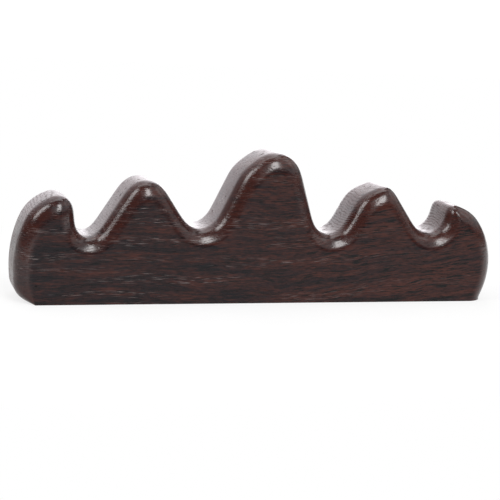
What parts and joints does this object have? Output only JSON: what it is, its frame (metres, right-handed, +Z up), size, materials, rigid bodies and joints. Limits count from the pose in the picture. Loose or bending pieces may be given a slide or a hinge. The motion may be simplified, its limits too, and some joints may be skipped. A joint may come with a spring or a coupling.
{
  "type": "brush rest",
  "caption": "Mountain-shaped desk rest for writing brushes, carved from one block of dark polished wood, with rounded valleys between its peaks.",
  "frame": {"origin": "middle of the flat base", "axes": "+X along the length, +Y through the thickness from the front face to the back, +Z up"},
  "size_m": [0.17, 0.0228, 0.0506],
  "materials": {
    "rosewood": "polished"
  },
  "bodies": {
    "root": {"brush_rest": "rosewood"}
  },
  "joints": []
}
